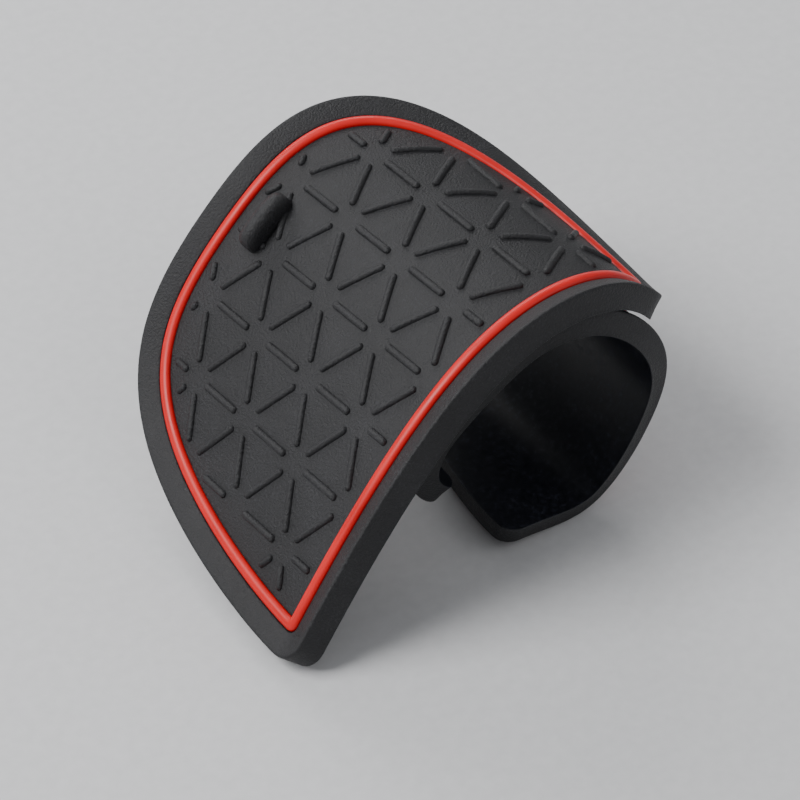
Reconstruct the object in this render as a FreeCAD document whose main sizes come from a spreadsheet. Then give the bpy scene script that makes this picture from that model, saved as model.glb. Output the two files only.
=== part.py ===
import FreeCAD, Part
import math
import os

import Sketcher

# Two moulded rubber slot liners, one curled inside the other.
# Each liner is a flat D-shaped mat with a raised rim and an inlaid coloured bead,
# bent round straight lines that all run along Y. Lengths are in mm, angles in degrees.
# Sheet coordinates: "arc" runs along the bend, "y" along the straight lines, and
# "height" stands off the mat's underside.

DIMENSIONS = [
    # cross-section shared by both mats
    ("sheet_thickness", 2.5),
    ("rim_rise", 1.5),
    ("rim_width", 5.0),
    ("straight_rim_width", 4.4),
    ("rim_corner_radius", 4.0),
    ("bead_width", 1.5),
    ("bead_rise", 0.5),
    ("bead_depth", 1.0),
    ("flex_gap", 0.4),
    # D outline of the bead: half length of the straight side, and depth
    ("outer_half_length", 41.0),
    ("inner_half_length", 49.0),
    ("panel_depth", 50.9),
    # where the D's straight side has its middle, and how far it is skewed to the bend
    ("outer_centre_arc", 13.7),
    ("outer_centre_y", -19.9),
    ("outer_skew", 5.7),
    ("inner_centre_arc", 14.4),
    ("inner_centre_y", -17.7),
    ("inner_skew", -3.1),
    # where the flexing ends begin
    ("flap_arc", 4.0),
    ("tail_arc", 44.0),
    # one point that each bend passes through
    ("outer_anchor_arc", 0.0),
    ("outer_anchor_x", 0.0),
    ("outer_anchor_z", 26.1),
    ("inner_anchor_arc", 7.5),
    ("inner_anchor_x", 35.3),
    ("inner_anchor_z", 36.4),
    # pull tab on the outer mat
    ("tab_arc", 11.3),
    ("tab_y", 25.0),
    ("tab_length", 9.0),
    ("tab_width", 4.5),
    ("tab_height", 3.4),
    ("tab_rounding", 1.5),
    ("tab_root", 1.0),
    # moves the whole model so that its box stands centred on the origin
    ("frame_x", 0.0),
    ("frame_y", 0.0),
    ("frame_z", 0.0),
]

# The lean of each mat against the ground, at distances along its bend.
OUTER_BEND = [
    (-36, 54), (-10, 49), (2.5, 44), (14, 35), (25, 18.5),
    (35, -2.5), (44, -24.5), (52.5, -48), (63, -68),
]
INNER_BEND = [
    (-43, 172), (-36, 140), (-28.5, 83), (-22.5, 52.5), (-15, 41), (-7.5, 33), (2.5, -1.5),
    (12.5, -36), (22.5, -66), (32.5, -109), (42.5, -128), (49, -145), (55, -180), (70, -181),
]

CURVE_SAMPLES = 240
CORNER_SAMPLES = 8
BEND_STEP = 0.25
STATION_SPACING = 4.5
END_INSET = 0.3
END_STEPS = [0.0, 0.8, 2.0, 3.6]
RIDGE_SHARE = 0.2


def fill_sheet(doc):
    """Put the driving dimensions in a spreadsheet and return them by name."""
    sheet = doc.addObject("Spreadsheet::Sheet", "dims")
    for row, (name, value) in enumerate(DIMENSIONS, start=1):
        sheet.set(f"A{row}", name)
        sheet.set(f"B{row}", str(value))
        sheet.setAlias(f"B{row}", name)
    doc.recompute()
    return {name: float(sheet.get(name)) for name, _ in DIMENSIONS}


class Bend:
    """The side view of a curled mat's panel face: a curve given by its lean."""

    def __init__(self, knots, anchor_arc, anchor_x, anchor_z):
        self.knots = knots
        self.start = knots[0][0]
        count = round((knots[-1][0] - self.start) / BEND_STEP)
        self.path = [(0.0, 0.0)]
        for step in range(count):
            lean = math.radians(self.lean(self.start + (step + 0.5) * BEND_STEP))
            x, z = self.path[-1]
            self.path.append((x + BEND_STEP * math.cos(lean), z + BEND_STEP * math.sin(lean)))
        x, z = self.point(anchor_arc)
        self.path = [(px + anchor_x - x, pz + anchor_z - z) for px, pz in self.path]

    def slope(self, index):
        """How fast the lean changes at a knot, from a parabola through its neighbours."""
        last = len(self.knots) - 1
        rates = []
        spans = []
        for left in (max(index - 1, 0), min(index, last - 1)):
            (arc_a, lean_a), (arc_b, lean_b) = self.knots[left], self.knots[left + 1]
            spans.append(arc_b - arc_a)
            rates.append((lean_b - lean_a) / spans[-1])
        return (rates[0] * spans[1] + rates[1] * spans[0]) / (spans[0] + spans[1])

    def lean(self, arc):
        """Lean in degrees: a smooth cubic from knot to knot."""
        index = 0
        while index < len(self.knots) - 2 and self.knots[index + 1][0] <= arc:
            index += 1
        (arc_a, lean_a), (arc_b, lean_b) = self.knots[index], self.knots[index + 1]
        span = arc_b - arc_a
        t = (arc - arc_a) / span
        return (
            (2 * t**3 - 3 * t**2 + 1) * lean_a
            + (t**3 - 2 * t**2 + t) * span * self.slope(index)
            + (3 * t**2 - 2 * t**3) * lean_b
            + (t**3 - t**2) * span * self.slope(index + 1)
        )

    def point(self, arc, height=0.0):
        """The point at a height off the panel face, on the bend's outer side."""
        place = (arc - self.start) / BEND_STEP
        index = min(max(int(place), 0), len(self.path) - 2)
        part = place - index
        (x0, z0), (x1, z1) = self.path[index], self.path[index + 1]
        lean = math.radians(self.lean(arc))
        x = x0 + part * (x1 - x0) - height * math.sin(lean)
        z = z0 + part * (z1 - z0) + height * math.cos(lean)
        return x, z


class Outline:
    """A D outline in sheet coordinates, offset outwards from the bead's middle line."""

    def __init__(self, size, mat, side_offset, straight_offset, corner_radius):
        self.half = size[f"{mat}_half_length"]
        self.depth = size["panel_depth"]
        edge = self.half + side_offset
        turns = [math.radians(90 * step / CORNER_SAMPLES) for step in range(CORNER_SAMPLES + 1)]
        corner = []
        for turn in turns:
            u = edge - corner_radius * (1 - math.cos(turn))
            corner.append((u, corner_radius * (1 - math.sin(turn)) - straight_offset))
        flat = corner[::-1]
        for step in range(CURVE_SAMPLES + 1):
            flat.append(self.rounded_side(math.pi * step / CURVE_SAMPLES, side_offset))
        flat += [(-u, v) for u, v in corner]
        skew = math.radians(size[f"{mat}_skew"])
        self.points = []
        for u, v in flat:
            arc = size[f"{mat}_centre_arc"] + u * math.cos(skew) - v * math.sin(skew)
            y = size[f"{mat}_centre_y"] + u * math.sin(skew) + v * math.cos(skew)
            self.points.append((arc, y))
        self.first = min(arc for arc, _ in self.points)
        self.last = max(arc for arc, _ in self.points)

    def rounded_side(self, angle, offset):
        """The D's curve, v = depth * (1 - (u / half) ** 4) ** (2 / 3), moved out along its normal."""
        along = math.copysign(abs(math.cos(angle)) ** 0.5, math.cos(angle))
        sine = abs(math.sin(angle))
        normal = math.atan2(sine ** (2 / 3), 8 / 3 * self.depth / self.half * along**3)
        u = self.half * along + offset * math.cos(normal)
        return u, self.depth * sine ** (4 / 3) + offset * math.sin(normal)

    def span(self, arc):
        """Lowest and highest y of the outline on one straight line of the bend."""
        found = []
        for (arc_a, y_a), (arc_b, y_b) in zip(self.points, self.points[1:] + self.points[:1]):
            if (arc_a - arc) * (arc_b - arc) <= 0 and arc_a != arc_b:
                found.append(y_a + (y_b - y_a) * (arc - arc_a) / (arc_b - arc_a))
        return min(found), max(found)


def stations(start, end, free_start, free_end):
    """Distances along the bend for a loft, closer together at a mat's free ends."""
    places = []
    if free_start:
        places += [start + inset for inset in END_STEPS]
        start += 2 * END_STEPS[-1]
    tail = []
    if free_end:
        tail = [end - inset for inset in reversed(END_STEPS)]
        end -= 2 * END_STEPS[-1]
    count = max(1, round((end - start) / STATION_SPACING))
    places += [start + (end - start) * step / count for step in range(count + 1)]
    return places + tail


def level(size, part, fraction=1.0):
    """A height above the underside, as a number and as the expression that drives it."""
    thickness = size["sheet_thickness"]
    if part == "underside":
        return 0.0, "0"
    if part == "rim":
        rise = round(fraction, 4)
        return thickness + rise * size["rim_rise"], f"dims.sheet_thickness + {rise} * dims.rim_rise"
    if part == "bead_floor":
        return thickness - size["bead_depth"], "dims.sheet_thickness - dims.bead_depth"
    if part == "bead_top":
        return thickness + size["bead_rise"], "dims.sheet_thickness + dims.bead_rise"
    if part == "below_bead":
        return thickness - 2 * size["bead_depth"], "dims.sheet_thickness - 2 * dims.bead_depth"
    return thickness + 3 * size["bead_rise"], "dims.sheet_thickness + 3 * dims.bead_rise"


def add_section(body, size, bend, arc, name, corners):
    """A closed polygon square to the bend; each corner is a y and a level."""
    sketch = body.newObject("Sketcher::SketchObject", name)
    plane = next(item for item in body.Origin.OriginFeatures if item.Role == "YZ_Plane")
    x, z = bend.point(arc, -size["sheet_thickness"])
    sketch.AttachmentSupport = [(plane, "")]
    sketch.MapMode = "FlatFace"
    tilt = FreeCAD.Rotation(FreeCAD.Vector(1, 0, 0), -bend.lean(arc))
    sketch.AttachmentOffset = FreeCAD.Placement(FreeCAD.Vector(0, z, x), tilt)
    ends = [FreeCAD.Vector(y, height, 0) for y, (height, _) in corners]
    lines = [Part.LineSegment(begin, end) for begin, end in zip(ends, ends[1:] + ends[:1])]
    sketch.addGeometry(lines, False)
    for index in range(len(corners)):
        after = (index + 1) % len(corners)
        sketch.addConstraint(Sketcher.Constraint("Coincident", index, 2, after, 1))
    for index, (y, (height, expression)) in enumerate(corners):
        sketch.addConstraint(Sketcher.Constraint("DistanceX", -1, 1, index, 1, y))
        rise = sketch.addConstraint(Sketcher.Constraint("DistanceY", -1, 1, index, 1, height))
        if expression != "0":
            sketch.setExpression(f"Constraints[{rise}]", expression)
    return sketch


def loft_body(doc, size, name, bend, arcs, corners_at):
    """A body lofted through one polygon at each place along the bend."""
    body = doc.addObject("PartDesign::Body", name)
    sketches = []
    for index, arc in enumerate(arcs):
        corners = corners_at(arc)
        sketches.append(add_section(body, size, bend, arc, f"{name}_section_{index}", corners))
    loft = body.newObject("PartDesign::AdditiveLoft", f"{name}_loft")
    loft.Profile = sketches[0]
    loft.Sections = sketches[1:]
    loft.Ruled = True
    body.Tip = loft
    place_in_frame(body)
    return body


def place_in_frame(body):
    for axis in "xyz":
        body.setExpression(f"Placement.Base.{axis}", f"dims.frame_{axis}")


def add_cut(doc, name, base, tool):
    """base less tool, keeping every face as lofted: merging them can turn the solid inside out."""
    cut = doc.addObject("Part::Cut", name)
    cut.Base = base
    cut.Tool = tool
    cut.Refine = False
    return cut


def mat_corners(size, edge, panel, arc):
    """Section of the mat: flat underside, walls, a rim that slopes down to the panel.

    The foot of the slope lies under the bead, away from the groove's walls.
    """
    low, high = edge.span(arc)
    if panel.first + END_STEPS[1] < arc < panel.last - END_STEPS[1]:
        panel_low, panel_high = panel.span(arc)
        dip = 0.0
    else:
        middle = (low + high) / 2
        ridge = RIDGE_SHARE * (high - low) / 2
        panel_low, panel_high = middle - ridge, middle + ridge
        reach = min(arc - edge.first, edge.last - arc)
        dip = max(0.0, 1 - reach / size["rim_width"])
    inner = level(size, "rim", dip)
    return [
        (low, level(size, "underside")),
        (low, level(size, "rim")),
        (panel_low, inner),
        (panel_high, inner),
        (high, level(size, "rim")),
        (high, level(size, "underside")),
    ]


def block_corners(size, outline, bottom, top, arc):
    """Plain rectangular section as wide as an outline."""
    low, high = outline.span(arc)
    return [
        (low, level(size, bottom)),
        (low, level(size, top)),
        (high, level(size, top)),
        (high, level(size, bottom)),
    ]


def make_length(doc, size, mat, bend, section, start, end):
    """One length of a mat and of the bead inlaid in it; None marks a free end."""
    half_bead = size["bead_width"] / 2
    corner = size["rim_corner_radius"]
    edge = Outline(size, mat, size["rim_width"], size["straight_rim_width"], corner)
    bead_middle = Outline(size, mat, 0.0, 0.0, 0.0)
    bead_edge = Outline(size, mat, half_bead, half_bead, half_bead)
    bead_bore = Outline(size, mat, -half_bead, -half_bead, 0.0)

    def along(outline, overrun):
        first = outline.first + END_INSET if start is None else start - overrun
        last = outline.last - END_INSET if end is None else end + overrun
        return stations(first, last, start is None, end is None)

    blank = loft_body(
        doc, size, f"{mat}_{section}_blank", bend, along(edge, 0.0),
        lambda arc: mat_corners(size, edge, bead_middle, arc),
    )
    band = loft_body(
        doc, size, f"{mat}_{section}_bead_band", bend, along(bead_edge, 0.0),
        lambda arc: block_corners(size, bead_edge, "bead_floor", "bead_top", arc),
    )
    bore = loft_body(
        doc, size, f"{mat}_{section}_bead_bore", bend, along(bead_bore, 1.0),
        lambda arc: block_corners(size, bead_bore, "below_bead", "above_bead", arc),
    )
    bead = add_cut(doc, f"{mat}_bead_{section}", band, bore)
    mat_length = add_cut(doc, f"{mat}_mat_{section}", blank, bead)
    return [mat_length, bead]


def make_pull_tab(doc, size, bend, mat_length):
    """A rounded lug moulded on the outer mat's panel."""
    body = doc.addObject("PartDesign::Body", "pull_tab_blank")
    sketch = body.newObject("Sketcher::SketchObject", "pull_tab_outline")
    plane = next(item for item in body.Origin.OriginFeatures if item.Role == "XY_Plane")
    arc = size["tab_arc"]
    x, z = bend.point(arc, -size["tab_root"])
    sketch.AttachmentSupport = [(plane, "")]
    sketch.MapMode = "FlatFace"
    tilt = FreeCAD.Rotation(FreeCAD.Vector(0, 1, 0), -bend.lean(arc))
    turn = FreeCAD.Rotation(FreeCAD.Vector(0, 0, 1), size["outer_skew"])
    sketch.AttachmentOffset = FreeCAD.Placement(FreeCAD.Vector(x, size["tab_y"], z), tilt * turn)
    half_length = size["tab_length"] / 2
    half_width = size["tab_width"] / 2
    ends = [
        FreeCAD.Vector(-half_length, -half_width, 0),
        FreeCAD.Vector(half_length, -half_width, 0),
        FreeCAD.Vector(half_length, half_width, 0),
        FreeCAD.Vector(-half_length, half_width, 0),
    ]
    sketch.addGeometry([Part.LineSegment(a, b) for a, b in zip(ends, ends[1:] + ends[:1])], False)
    for index in range(4):
        sketch.addConstraint(Sketcher.Constraint("Coincident", index, 2, (index + 1) % 4, 1))
    for index in (0, 2):
        sketch.addConstraint(Sketcher.Constraint("Horizontal", index))
        sketch.addConstraint(Sketcher.Constraint("Vertical", index + 1))
    sketch.addConstraint(Sketcher.Constraint("Symmetric", 0, 1, 2, 1, -1, 1))
    length = sketch.addConstraint(Sketcher.Constraint("DistanceX", 0, 1, 0, 2, size["tab_length"]))
    width = sketch.addConstraint(Sketcher.Constraint("DistanceY", 1, 1, 1, 2, size["tab_width"]))
    sketch.setExpression(f"Constraints[{length}]", "dims.tab_length")
    sketch.setExpression(f"Constraints[{width}]", "dims.tab_width")
    pad = body.newObject("PartDesign::Pad", "pull_tab_pad")
    pad.Profile = sketch
    pad.setExpression("Length", "dims.tab_height + dims.tab_root")
    doc.recompute()
    rounding = body.newObject("PartDesign::Fillet", "pull_tab_rounding")
    top = size["tab_height"] + size["tab_root"] - 0.01
    normal = sketch.Placement.Rotation.multVec(FreeCAD.Vector(0, 0, 1))
    base = sketch.Placement.Base
    edges = []
    for number, edge in enumerate(pad.Shape.Edges, start=1):
        heights = [(vertex.Point - base).dot(normal) for vertex in edge.Vertexes]
        if max(heights) > top:
            edges.append(f"Edge{number}")
    rounding.Base = (pad, edges)
    rounding.setExpression("Radius", "dims.tab_rounding")
    body.Tip = rounding
    place_in_frame(body)
    return add_cut(doc, "outer_pull_tab", body, mat_length)


def centre_on_origin(doc, parts):
    """Move the model so that its box stands on z = 0 with its middle at x = y = 0."""
    box = FreeCAD.BoundBox()
    for part in parts:
        box.add(part.Shape.BoundBox)
    shift = {"frame_x": -box.Center.x, "frame_y": -box.Center.y, "frame_z": -box.ZMin}
    for name, value in shift.items():
        doc.dims.set(doc.dims.getCellFromAlias(name), str(round(value, 4)))
    doc.recompute()
    return shift


def check_document(doc, parts):
    """Stop if any object failed, any sub-part is not a sound solid, or a cut took too much."""
    for item in doc.Objects:
        if {"Invalid", "Error"} & set(item.State):
            raise RuntimeError(f"{item.Label} failed: {item.State}")
        if item.TypeId == "Part::Cut":
            shared = item.Base.Shape.common(item.Tool.Shape).Volume
            if abs(item.Base.Shape.Volume - shared - item.Shape.Volume) > 1.0:
                raise RuntimeError(f"{item.Label} lost {item.Base.Shape.Volume - item.Shape.Volume}")
    for part in parts:
        if part.Shape.isNull() or not part.Shape.isValid() or part.Shape.Volume <= 0:
            raise RuntimeError(f"{part.Label} is not a sound solid")


def main():
    doc = FreeCAD.newDocument("nested_slot_liners")
    size = fill_sheet(doc)
    bends = {}
    for mat, knots in (("outer", OUTER_BEND), ("inner", INNER_BEND)):
        anchor = [size[f"{mat}_anchor_{name}"] for name in ("arc", "x", "z")]
        bends[mat] = Bend(knots, *anchor)
    half_gap = size["flex_gap"] / 2
    flap = size["flap_arc"]
    tail = size["tail_arc"]
    parts = make_length(doc, size, "outer", bends["outer"], "flap", None, flap - half_gap)
    parts += make_length(doc, size, "outer", bends["outer"], "crest", flap + half_gap, None)
    parts += make_length(doc, size, "inner", bends["inner"], "coil", None, tail - half_gap)
    parts += make_length(doc, size, "inner", bends["inner"], "tail", tail + half_gap, None)
    doc.recompute()
    parts.append(make_pull_tab(doc, size, bends["outer"], parts[2]))
    doc.recompute()
    shift = centre_on_origin(doc, parts)
    check_document(doc, parts)

    os.makedirs("parts", exist_ok=True)
    for part in parts:
        part.Label = part.Name
        part.Shape.exportStep(f"parts/{part.Label}.step")
        print(f"{part.Label}: {len(part.Shape.Solids)} solid, {part.Shape.Volume:.0f} mm3")
    hinges = (
        ("flap", bends["outer"], flap, size["rim_rise"]),
        ("tail", bends["inner"], tail, -size["sheet_thickness"]),
    )
    for name, bend, arc, height in hinges:
        x, z = bend.point(arc, height)
        print(f"{name} hinge at x {x + shift['frame_x']:.2f}, z {z + shift['frame_z']:.2f}")
    print(f"moved by {shift['frame_x']:.3f}, {shift['frame_y']:.3f}, {shift['frame_z']:.3f}")
    whole = FreeCAD.BoundBox()
    for part in parts:
        whole.add(part.Shape.BoundBox)
    print(f"whole model: {whole}")


main()
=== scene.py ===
import math

import bmesh
import bpy
import numpy as np
from mathutils import Matrix, Vector
from mathutils.geometry import delaunay_2d_cdt


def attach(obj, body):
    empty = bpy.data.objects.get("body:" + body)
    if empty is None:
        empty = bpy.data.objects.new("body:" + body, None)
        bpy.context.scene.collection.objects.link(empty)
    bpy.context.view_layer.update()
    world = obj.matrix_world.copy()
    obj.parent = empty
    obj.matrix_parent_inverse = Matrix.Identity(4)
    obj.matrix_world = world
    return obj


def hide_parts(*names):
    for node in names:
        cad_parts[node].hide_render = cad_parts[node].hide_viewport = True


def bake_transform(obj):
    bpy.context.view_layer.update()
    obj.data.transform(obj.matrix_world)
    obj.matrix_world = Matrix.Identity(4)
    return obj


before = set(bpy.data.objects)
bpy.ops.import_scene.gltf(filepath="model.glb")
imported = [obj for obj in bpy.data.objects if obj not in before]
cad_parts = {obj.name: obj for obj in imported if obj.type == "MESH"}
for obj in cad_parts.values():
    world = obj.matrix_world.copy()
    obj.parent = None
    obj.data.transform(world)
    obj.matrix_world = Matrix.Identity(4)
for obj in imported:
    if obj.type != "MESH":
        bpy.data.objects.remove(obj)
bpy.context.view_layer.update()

# Two curled rubber liners. Lengths below are in mm and angles in degrees, until to_space().
# A point of a flat mat is (u, v): u runs along the D's straight side from its middle, and v
# across it. On the bent sheet a point is (arc, y, height), height 0 being the panel's face.

MM = 0.001
SHIFT = (-14.567, -5.104, -0.071)
RIM_WIDTH = 5.0
GROOVE_HALF = 0.75
BEAD_CORNER = 0.3
SMALLEST_CORNER = 0.15
PITCH = 12.5

OUTER_BEND = [
    (-36, 54), (-10, 49), (2.5, 44), (14, 35), (25, 18.5),
    (35, -2.5), (44, -24.5), (52.5, -48), (63, -68),
]
INNER_BEND = [
    (-43, 172), (-36, 140), (-28.5, 83), (-22.5, 52.5), (-15, 41), (-7.5, 33), (2.5, -1.5),
    (12.5, -36), (22.5, -66), (32.5, -109), (42.5, -128), (49, -145), (55, -180), (70, -181),
]


class Bend:
    """The side view of a mat's panel face, given by its lean at knots along it."""

    STEP = 0.25

    def __init__(self, knots, anchor):
        self.knots = np.array(knots, float)
        start, end = self.knots[0, 0] - 2.0, self.knots[-1, 0] + 2.0
        self.arcs = np.arange(start, end + self.STEP / 2, self.STEP)
        middles = np.radians(self.lean(self.arcs[:-1] + self.STEP / 2))
        self.x = np.concatenate([[0.0], np.cumsum(np.cos(middles) * self.STEP)])
        self.z = np.concatenate([[0.0], np.cumsum(np.sin(middles) * self.STEP)])
        arc, x, z = anchor
        self.x += x - np.interp(arc, self.arcs, self.x)
        self.z += z - np.interp(arc, self.arcs, self.z)

    def lean(self, arc):
        arcs, leans = self.knots[:, 0], self.knots[:, 1]
        spans = np.diff(arcs)
        rates = np.diff(leans) / spans
        slopes = np.concatenate([
            [rates[0]],
            (rates[:-1] * spans[1:] + rates[1:] * spans[:-1]) / (spans[:-1] + spans[1:]),
            [rates[-1]],
        ])
        index = np.clip(np.searchsorted(arcs, arc, side="right") - 1, 0, len(arcs) - 2)
        span = spans[index]
        t = np.clip((arc - arcs[index]) / span, 0.0, 1.0)
        return (
            (2 * t**3 - 3 * t**2 + 1) * leans[index]
            + (t**3 - 2 * t**2 + t) * span * slopes[index]
            + (3 * t**2 - 2 * t**3) * leans[index + 1]
            + (t**3 - t**2) * span * slopes[index + 1]
        )

    def to_space(self, points):
        """(arc, y, height) in mm to the row frame in metres."""
        arc, y, height = np.asarray(points, float).T
        lean = np.radians(self.lean(arc))
        x = np.interp(arc, self.arcs, self.x) - height * np.sin(lean)
        z = np.interp(arc, self.arcs, self.z) + height * np.cos(lean)
        return (np.column_stack([x, y, z]) + SHIFT) * MM


def resample(points, count):
    """The open polyline through points, as count evenly spaced points."""
    points = np.asarray(points, float)
    lengths = np.concatenate([[0.0], np.cumsum(np.linalg.norm(np.diff(points, axis=0), axis=1))])
    places = np.linspace(0.0, lengths[-1], count)
    return np.column_stack([np.interp(places, lengths, points[:, k]) for k in (0, 1)])


class Mat:
    """One mat's flat form and where it lies on its bend."""

    CURVE_POINTS = 3001
    SIDE_POINTS = 200
    CORNER_POINTS = 9
    STRAIGHT_POINTS = 120

    def __init__(
        self, name, bend, half, depth, centre_arc, centre_y, skew, lattice, roundness, straight_rim
    ):
        self.name = name
        self.bend = bend
        self.half = half
        self.depth = depth
        self.centre = (centre_arc, centre_y)
        self.skew = math.radians(skew)
        self.lattice = lattice
        self.roundness = roundness
        self.straight_rim = straight_rim

    def sheet(self, flat):
        """(u, v) to (arc, y)."""
        u, v = np.asarray(flat, float).T
        arc = self.centre[0] + u * math.cos(self.skew) - v * math.sin(self.skew)
        y = self.centre[1] + u * math.sin(self.skew) + v * math.cos(self.skew)
        return np.column_stack([arc, y])

    def place(self, flat, height):
        """(u, v) and a height to the row frame."""
        sheet = self.sheet(flat)
        heights = np.broadcast_to(height, len(sheet))
        return self.bend.to_space(np.column_stack([sheet, heights]))

    def loop(self, offset, flare=0.0):
        """The D outline at an offset outwards from the bead's middle line.

        The flare carries the straight side further out.
        """
        straight = offset + flare
        if offset > GROOVE_HALF:
            narrowing = (self.straight_rim - GROOVE_HALF) / (RIM_WIDTH - GROOVE_HALF)
            straight = GROOVE_HALF + (offset - GROOVE_HALF) * narrowing + flare
        t = np.linspace(0.0, 1.0, self.CURVE_POINTS)
        share = 1 - (1 - t) ** 3
        u = self.half * share
        v = self.depth * (1 - share**4) ** (2 / 3)
        direction = np.column_stack([np.gradient(u), np.gradient(v)])
        direction[0] = (1.0, 0.0)
        direction[-1] = (0.0, -1.0)
        direction /= np.linalg.norm(direction, axis=1)[:, None]
        curve = np.column_stack([u - direction[:, 1] * offset, v + direction[:, 0] * offset])
        turns = np.radians(np.linspace(180, 270, self.CORNER_POINTS))
        ends, corners = [], []
        for roundness in self.roundness:
            radius = max(SMALLEST_CORNER, BEAD_CORNER + (offset + GROOVE_HALF) * roundness)
            lowest = radius - straight
            end = curve[curve[:, 1] > lowest]
            ends.append(np.vstack([end, [(end[-1, 0], lowest)]]))
            arc = np.column_stack([np.cos(turns), np.sin(turns)]) * radius
            corners.append(arc + (radius - end[-1, 0], lowest))
        side = resample(np.vstack([ends[0][:0:-1] * (-1, 1), ends[1]])[::-1], self.SIDE_POINTS)
        left_corner = corners[0]
        right_corner = (corners[1] * (-1, 1))[::-1]
        straight_side = resample([left_corner[-1], right_corner[0]], self.STRAIGHT_POINTS)
        return np.vstack([side[:-1], left_corner[:-1], straight_side[:-1], right_corner[:-1]])


def ring_faces(first, second, count):
    """Quads between two rings of count vertices that begin at the given numbers."""
    return [
        (first + k, first + (k + 1) % count, second + (k + 1) % count, second + k)
        for k in range(count)
    ]


FILL_SPACING = (0.8, 2.0)
FILL_MARGIN = 0.6
FILL_CLEARANCE = 0.45


def fill(mat, loop, spacing):
    """Points inside a loop on a grid along the bend lines, and triangles of loop and grid."""
    sheet = mat.sheet(loop)
    low, high = sheet.min(axis=0), sheet.max(axis=0)
    arcs = np.arange(math.ceil(low[0] / spacing[0]) * spacing[0], high[0], spacing[0])
    inside = []
    following = np.roll(sheet, -1, axis=0)
    for arc in arcs:
        crossing = (sheet[:, 0] - arc) * (following[:, 0] - arc) < 0
        a, b = sheet[crossing], following[crossing]
        ys = np.sort(a[:, 1] + (b[:, 1] - a[:, 1]) * (arc - a[:, 0]) / (b[:, 0] - a[:, 0]))
        if len(ys) < 2:
            continue
        first, last = ys[0] + FILL_MARGIN, ys[-1] - FILL_MARGIN
        count = int((last - first) / spacing[1])
        if count > 0:
            inside += [(arc, y) for y in np.linspace(first, last, count + 1)]
    inside = np.array(inside)
    near = np.min(np.linalg.norm(inside[:, None] - sheet[None], axis=2), axis=1)
    inside = inside[near > FILL_CLEARANCE]
    points = [Vector(p) for p in np.vstack([sheet, inside])]
    boundary = [list(range(len(loop)))]
    found = delaunay_2d_cdt(points, [], boundary, 1, 1e-6)
    source = [min(origin) for origin in found[3]]
    triangles = [tuple(source[k] for k in face) for face in found[2]]
    return inside, triangles


SHARP_EDGE = 38


def new_object(name, points, faces, materials, slots=None):
    """A mesh with outward normals, smooth except at real edges."""
    mesh = bpy.data.meshes.new(name)
    mesh.from_pydata([tuple(p) for p in points], [], faces)
    for material in materials:
        mesh.materials.append(material)
    if slots is not None:
        mesh.polygons.foreach_set("material_index", slots)
    work = bmesh.new()
    work.from_mesh(mesh)
    bmesh.ops.recalc_face_normals(work, faces=work.faces)
    work.to_mesh(mesh)
    work.free()
    mesh.polygons.foreach_set("use_smooth", [True] * len(mesh.polygons))
    mesh.set_sharp_from_angle(angle=math.radians(SHARP_EDGE))
    mesh.update()
    obj = bpy.data.objects.new(name, mesh)
    bpy.context.scene.collection.objects.link(obj)
    return obj


# Section of a mat's edge, from the underside round to the panel: offset from the bead's
# middle line, height, and flare on the straight side, where the wall leans out downwards.
EDGE_SECTION = [
    (3.2, -2.38, 0.6), (4.2, -2.38, 1.05), (4.5, -2.38, 1.2), (4.68, -2.36, 1.22), (4.74, -2.28, 1.22),
    (4.75, -2.18, 1.18), (4.75, -2.1, 1.12), (4.74, -1.3, 0.82), (4.7, -0.45, 0.5), (4.66, 0.4, 0.25),
    (4.62, 1.05, 0.1), (4.56, 1.27, 0.06), (4.44, 1.38, 0.02), (4.26, 1.4, 0.0), (4.0, 1.34, 0.0),
    (3.3, 1.12, 0.0), (2.6, 0.9, 0.0), (1.9, 0.63, 0.0), (1.45, 0.46, 0.0), (1.15, 0.33, 0.0),
    (1.05, 0.24, 0.0), (1.0, 0.05, 0.0), (0.98, -0.3, 0.0), (0.95, -0.6, 0.0), (-0.95, -0.6, 0.0),
    (-0.98, -0.3, 0.0), (-1.01, -0.05, 0.0), (-1.1, 0.0, 0.0), (-1.35, 0.0, 0.0),
]
UNDERSIDE_BANDS = 4

# Section of the bead, from its foot over the top: offset from its middle line, and height.
BEAD_SECTION = [
    (0.65, -0.52), (0.88, -0.35), (0.93, -0.05), (0.88, 0.22), (0.74, 0.44), (0.5, 0.6),
    (0.24, 0.68), (0.0, 0.7), (-0.24, 0.68), (-0.5, 0.6), (-0.74, 0.44), (-0.88, 0.22),
    (-0.93, -0.05), (-0.88, -0.35), (-0.65, -0.52),
]


# Bars stop short of the lattice's nodes and of the panel's edge; stubs shorter than the least
# number of samples are left out.
BAR_SHARE = (0.19, 0.81)
BAR_SAMPLES = 125
BAR_LEAST = 14
PANEL_EDGE = -2.2
LATTICE_REACH = (6, 8)


def grip_bars(mat):
    """Segments of the triangular lattice that lie on the panel: (u, v) at each end."""
    origin = np.array(mat.lattice)
    slant = math.sqrt(3) / 2
    steps = [np.array((slant, -0.5)), np.array((0.0, -1.0)), np.array((-slant, -0.5))]
    inner = mat.loop(PANEL_EDGE)
    bars = []
    for i in range(-LATTICE_REACH[0], LATTICE_REACH[0] + 1):
        for j in range(-LATTICE_REACH[1], LATTICE_REACH[1] + 1):
            node = origin + PITCH * (i * steps[0] + j * steps[1])
            for step in steps:
                places = np.linspace(*BAR_SHARE, BAR_SAMPLES)
                points = node + PITCH * places[:, None] * step
                kept = places[inside_loop(points, inner)]
                if len(kept) > BAR_LEAST:
                    bars.append((node + PITCH * kept[0] * step, node + PITCH * kept[-1] * step))
    return bars


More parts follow.
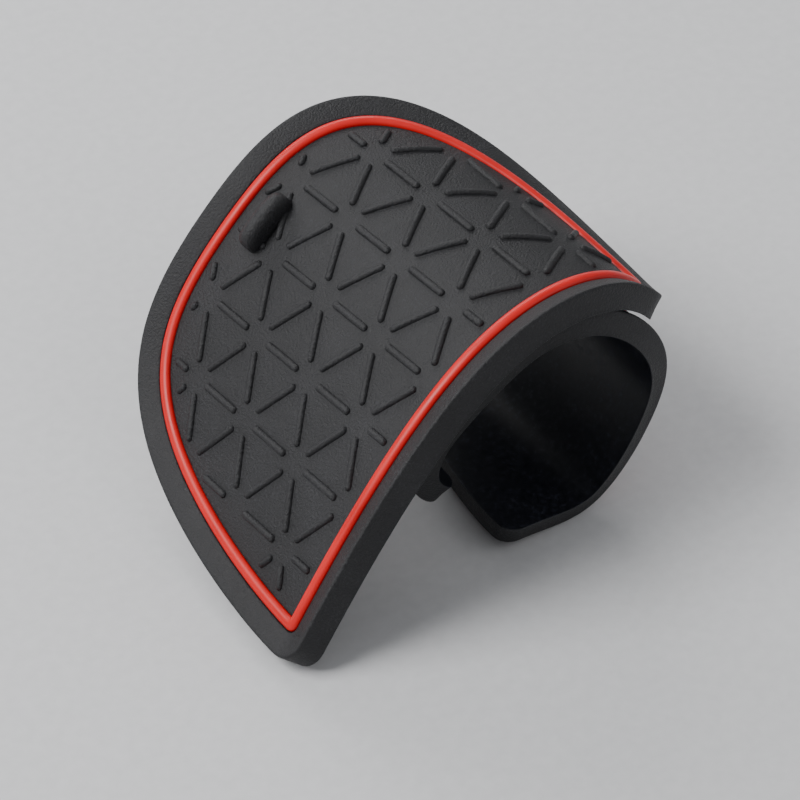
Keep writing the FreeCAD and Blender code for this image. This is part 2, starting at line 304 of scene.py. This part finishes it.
def inside_loop(points, loop):
    """Which points lie inside a closed loop."""
    a, b = loop, np.roll(loop, -1, axis=0)
    x, y = points[:, 0][:, None], points[:, 1][:, None]
    straddles = (a[:, 1] > y) != (b[:, 1] > y)
    rise = np.where(b[:, 1] == a[:, 1], 1e-9, b[:, 1] - a[:, 1])
    left = x < a[:, 0] + (b[:, 0] - a[:, 0]) * (y - a[:, 1]) / rise
    return np.count_nonzero(straddles & left, axis=1) % 2 == 1


# Section of a bar's side: radius from its middle line, and height.
BAR_SECTION = [(0.6, -0.35), (0.59, 0.0), (0.53, 0.22), (0.4, 0.39), (0.2, 0.49)]
BAR_TOP = 0.52
BAR_END = 0.5
BAR_STEP = 1.2


def bar_mesh(mat, begin, end, first):
    """A rounded ridge from begin to end, as points in the row frame and faces."""
    along = end - begin
    length = np.linalg.norm(along)
    along = along / length
    across = np.array((-along[1], along[0]))
    straight = max(0.05, length / 2 - BAR_END)
    middle = (begin + end) / 2
    turns = np.radians(np.linspace(-90, 90, 7))
    lengthwise = max(2, int(length / BAR_STEP))
    points, faces = [], []
    for radius, height in BAR_SECTION:
        cap = np.column_stack([straight + radius * np.cos(turns), radius * np.sin(turns)])
        side = np.linspace(straight, -straight, lengthwise + 1)[1:-1]
        upper = np.column_stack([side, np.full(len(side), radius)])
        ring = np.vstack([cap, upper, -cap, -upper])
        flat = middle + ring[:, :1] * along + ring[:, 1:] * across
        points.append(mat.place(flat, height))
    count = len(ring)
    for k in range(len(BAR_SECTION) - 1):
        faces += ring_faces(first + k * count, first + (k + 1) * count, count)
    # the ridge line joins the two sides of the topmost ring
    crest = np.linspace(straight, -straight, lengthwise + 1)
    flat = middle + crest[:, None] * along
    points.append(mat.place(flat, BAR_TOP))
    top = first + (len(BAR_SECTION) - 1) * count
    line = first + len(BAR_SECTION) * count
    cap_count = len(turns)
    start = cap_count + lengthwise - 1
    upper_ids = list(range(cap_count - 1, start + 1))
    lower_ids = [0] + list(range(start + cap_count + lengthwise - 2, start + cap_count - 2, -1))
    for k in range(cap_count - 1):
        faces.append((top + k, top + k + 1, line))
        faces.append((top + start + k, top + start + k + 1, line + lengthwise))
    for k in range(lengthwise):
        faces.append((top + upper_ids[k], top + upper_ids[k + 1], line + k + 1, line + k))
        faces.append((top + lower_ids[k], top + lower_ids[k + 1], line + k + 1, line + k))
    faces.append(tuple(first + k for k in range(count)))
    return np.vstack(points), faces


def build_mat(mat, face_material, underside_material):
    """A mat with its rim, groove and grip bars as one object."""
    rings = [mat.loop(offset, flare) for offset, _, flare in EDGE_SECTION]
    count = len(rings[0])
    points = [mat.place(ring, height) for ring, (_, height, _) in zip(rings, EDGE_SECTION)]
    faces, slots = [], []
    for k in range(len(rings) - 1):
        quads = ring_faces(k * count, (k + 1) * count, count)
        faces += quads
        slots += [1 if k < UNDERSIDE_BANDS else 0] * len(quads)
    total = len(rings) * count
    for ring, first, height, slot in (
        (rings[0], 0, EDGE_SECTION[0][1], 1),
        (rings[-1], (len(rings) - 1) * count, 0.0, 0),
    ):
        inside, triangles = fill(mat, ring, FILL_SPACING)
        points.append(mat.bend.to_space(np.column_stack([inside, np.full(len(inside), height)])))
        for face in triangles:
            faces.append(tuple(first + k if k < count else total + k - count for k in face))
        slots += [slot] * len(triangles)
        total += len(inside)
    for begin, end in grip_bars(mat):
        bar_points, bar_faces = bar_mesh(mat, begin, end, total)
        points.append(bar_points)
        faces += bar_faces
        slots += [0] * len(bar_faces)
        total += len(bar_points)
    # the second material, on the underside and its lip, carries painted shade in its darker, bluish colours
    materials = [face_material, underside_material]
    return new_object(f"{mat.name}_rubber_mat", np.vstack(points), faces, materials, slots)


def build_bead(mat, material):
    """The bead, as a closed ring of one section."""
    points = [mat.place(mat.loop(offset), height) for offset, height in BEAD_SECTION]
    count = len(points[0])
    faces = []
    for k in range(len(points)):
        faces += ring_faces(k * count, (k + 1) % len(points) * count, count)
    return new_object(f"{mat.name}_red_bead", np.vstack(points), faces, [material])


TAB_CENTRE = (2.2, 44.9)
TAB_HALF_LENGTH = 4.8
# across the tab from the near side to the far side, and height
TAB_SECTION = [
    (-2.1, -0.8), (-2.2, 0.0), (-2.3, 1.2), (-2.25, 2.3), (-1.9, 3.1), (-1.2, 3.5), (-0.4, 3.4),
    (0.5, 2.9), (1.3, 2.1), (1.9, 1.2), (2.4, 0.4), (2.7, -0.1), (2.7, -0.8),
]


def build_tab(mat, material):
    """The pull tab, its section drawn in towards both ends."""
    stations = np.sin(np.radians(np.linspace(-88, 88, 25)))
    points = []
    for station in stations:
        size = (1 - abs(station) ** 5) ** 0.45
        flat = [
            (TAB_CENTRE[0] + station * TAB_HALF_LENGTH, TAB_CENTRE[1] + across * (0.45 + 0.55 * size))
            for across, _ in TAB_SECTION
        ]
        heights = np.array([h if h < 0 else h * size for _, h in TAB_SECTION])
        points.append(mat.place(flat, heights))
    count = len(TAB_SECTION)
    faces = []
    for k in range(len(stations) - 1):
        faces += ring_faces(k * count, (k + 1) * count, count)
    faces.append(tuple(range(count)))
    faces.append(tuple(range((len(stations) - 1) * count, len(stations) * count)))
    return new_object("pull_tab", np.vstack(points), faces, [material])


# Materials


class Nodes:
    """A material's nodes, made and joined in one line each."""

    def __init__(self, name):
        self.material = bpy.data.materials.new(name)
        self.material.use_nodes = True
        self.tree = self.material.node_tree
        self.shader = self.tree.nodes["Principled BSDF"]

    def add(self, kind, values=None, **settings):
        node = self.tree.nodes.new(kind)
        for key, value in settings.items():
            setattr(node, key, value)
        for key, value in (values or {}).items():
            if isinstance(value, bpy.types.NodeSocket):
                self.tree.links.new(value, node.inputs[key])
            else:
                node.inputs[key].default_value = value
        return node

    def link(self, output, name):
        self.tree.links.new(output, self.shader.inputs[name])

    def ramp(self, factor, stops):
        node = self.add("ShaderNodeValToRGB", {"Fac": factor})
        elements = node.color_ramp.elements
        while len(elements) < len(stops):
            elements.new(0.5)
        for element, (position, colour) in zip(elements, stops):
            element.position = position
            element.color = (*colour, 1.0)
        return node.outputs["Color"]

    def spread(self, factor, low, high, from_low=0.3, from_high=0.7):
        values = {"Value": factor, "From Min": from_low, "From Max": from_high}
        values.update({"To Min": low, "To Max": high})
        return self.add("ShaderNodeMapRange", values).outputs["Result"]


def rubber(name, dark, light, rough_low, rough_high, grain, grain_size, specular):
    made = Nodes(name)
    place = made.add("ShaderNodeTexCoord").outputs["Object"]
    fine = made.add(
        "ShaderNodeTexNoise",
        {"Vector": place, "Scale": 1 / grain_size, "Detail": 3.0, "Roughness": 0.6},
    )
    cloud = made.add(
        "ShaderNodeTexNoise",
        {"Vector": place, "Scale": 90.0, "Detail": 4.0, "Roughness": 0.55},
    )
    faint = made.add("ShaderNodeMath", {0: cloud.outputs["Fac"], 1: 0.25}, operation="MULTIPLY")
    tone = made.add(
        "ShaderNodeMath",
        {0: fine.outputs["Fac"], 1: 0.75, 2: faint.outputs["Value"]},
        operation="MULTIPLY_ADD",
    ).outputs["Value"]
    stops = [(0.38, dark), (0.56, light), (0.68, tuple(2.4 * part for part in light))]
    made.link(made.ramp(tone, stops), "Base Color")
    made.link(made.spread(fine.outputs["Fac"], rough_low, rough_high), "Roughness")
    grainy = made.add(
        "ShaderNodeBump",
        {"Height": fine.outputs["Fac"], "Strength": grain, "Distance": 0.0002},
    )
    made.link(grainy.outputs["Normal"], "Normal")
    made.shader.inputs["Specular IOR Level"].default_value = specular
    return made.material


def bead_red():
    made = Nodes("red_bead_rubber")
    place = made.add("ShaderNodeTexCoord").outputs["Object"]
    cloud = made.add("ShaderNodeTexNoise", {"Vector": place, "Scale": 160.0, "Detail": 3.0})
    fine = made.add("ShaderNodeTexNoise", {"Vector": place, "Scale": 1500.0, "Detail": 2.0})
    stops = [(0.3, (0.6, 0.006, 0.005)), (0.7, (0.72, 0.009, 0.008))]
    made.link(made.ramp(cloud.outputs["Fac"], stops), "Base Color")
    made.link(made.spread(cloud.outputs["Fac"], 0.34, 0.46), "Roughness")
    bump = made.add("ShaderNodeBump", {"Height": fine.outputs["Fac"], "Strength": 0.15, "Distance": 0.00008})
    made.link(bump.outputs["Normal"], "Normal")
    made.shader.inputs["Specular IOR Level"].default_value = 0.4
    return made.material


def floor_material():
    made = Nodes("pale_floor")
    place = made.add("ShaderNodeTexCoord").outputs["Object"]
    cloud = made.add("ShaderNodeTexNoise", {"Vector": place, "Scale": 500.0, "Detail": 2.0})
    stops = [(0.3, (0.66, 0.66, 0.67)), (0.7, (0.7, 0.7, 0.71))]
    made.link(made.ramp(cloud.outputs["Fac"], stops), "Base Color")
    made.shader.inputs["Roughness"].default_value = 0.8
    return made.material


face_rubber = rubber(
    "matte_black_rubber", (0.008, 0.008, 0.009), (0.015, 0.015, 0.017),
    rough_low=0.45, rough_high=0.68, grain=0.9, grain_size=0.00035, specular=0.4,
)
# The underside is the same black rubber as the face. Its darker, bluish base colours are painted shade from
# the inside of the curl.
underside_rubber_painted_shade = rubber(
    "smooth_black_rubber_painted_shade", (0.004, 0.005, 0.008), (0.008, 0.009, 0.014),
    rough_low=0.34, rough_high=0.5, grain=0.1, grain_size=0.0009, specular=0.4,
)
red = bead_red()

outer = Mat(
    "outer", Bend(OUTER_BEND, (0.0, 0.0, 26.1)), half=41.0, depth=50.9, centre_arc=13.7, centre_y=-19.9,
    skew=5.7, lattice=(-11.6, 21.1), roundness=(0.6435, 1.15), straight_rim=4.4,
)
inner = Mat(
    "inner", Bend(INNER_BEND, (7.5, 35.3, 36.4)), half=49.0, depth=49.9, centre_arc=14.4, centre_y=-17.7,
    skew=-3.1, lattice=(0.0, 21.1), roundness=(0.6435, 0.45), straight_rim=3.7,
)

pieces = {}
for mat, near, far in ((outer, "crest", "flap"), (inner, "coil", "tail")):
    body = build_mat(mat, face_rubber, underside_rubber_painted_shade)
    bead = build_bead(mat, red)
    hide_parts(f"{mat.name}_mat_{near}", f"{mat.name}_mat_{far}")
    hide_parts(f"{mat.name}_bead_{near}", f"{mat.name}_bead_{far}")
    pieces[mat.name] = (body, bead)
tab = build_tab(outer, face_rubber)
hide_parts("outer_pull_tab")
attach(tab, "outer_crest")

# Each mat's rubber and bead get their placement baked into their points.
for piece in pieces["outer"]:
    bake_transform(piece)
for piece in pieces["inner"]:
    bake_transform(piece)

# Floor, lights and camera

bpy.ops.mesh.primitive_plane_add(size=6.0, location=(0.0, 0.0, 0.0))
floor = bpy.context.object
floor.name = "floor"
floor.data.materials.append(floor_material())


def area_light(name, location, target, size, power):
    light = bpy.data.lights.new(name, "AREA")
    light.shape = "RECTANGLE"
    light.size, light.size_y = size
    light.energy = power
    obj = bpy.data.objects.new(name, light)
    obj.location = location
    obj.rotation_euler = (Vector(target) - Vector(location)).to_track_quat("-Z", "Y").to_euler()
    bpy.context.scene.collection.objects.link(obj)


area_light("key_light", (-0.55, 0.25, 0.7), (0, 0, 0.02), (0.5, 0.5), 9.0)
area_light("back_light", (0.2, 0.8, 0.5), (0, 0, 0.02), (0.8, 0.3), 4.0)
area_light("fill_light", (0.6, -0.6, 0.6), (0, 0, 0.02), (0.8, 0.8), 1.5)

world = bpy.data.worlds.new("studio")
world.use_nodes = True
world.node_tree.nodes["Background"].inputs["Color"].default_value = (0.9, 0.92, 0.95, 1.0)
world.node_tree.nodes["Background"].inputs["Strength"].default_value = 0.35
bpy.context.scene.world = world

eye = Vector((-15.528, -25.843, 27.73)) * PITCH + Vector((0.0, 0.0, 26.1)) + Vector(SHIFT)
right = Vector((0.8399, -0.5427, 0.0031)).normalized()
ahead = Vector((0.3989, 0.6134, -0.6816)).normalized()
up = right.cross(ahead).normalized()
right = ahead.cross(up)
camera = bpy.data.cameras.new("camera")
camera.sensor_width = 36.0
camera.lens = 159.885
camera.clip_start = 0.01
view = bpy.data.objects.new("camera", camera)
view.matrix_world = Matrix.Translation(eye * MM) @ Matrix((right, up, -ahead)).transposed().to_4x4()
bpy.context.scene.collection.objects.link(view)
bpy.context.scene.camera = view
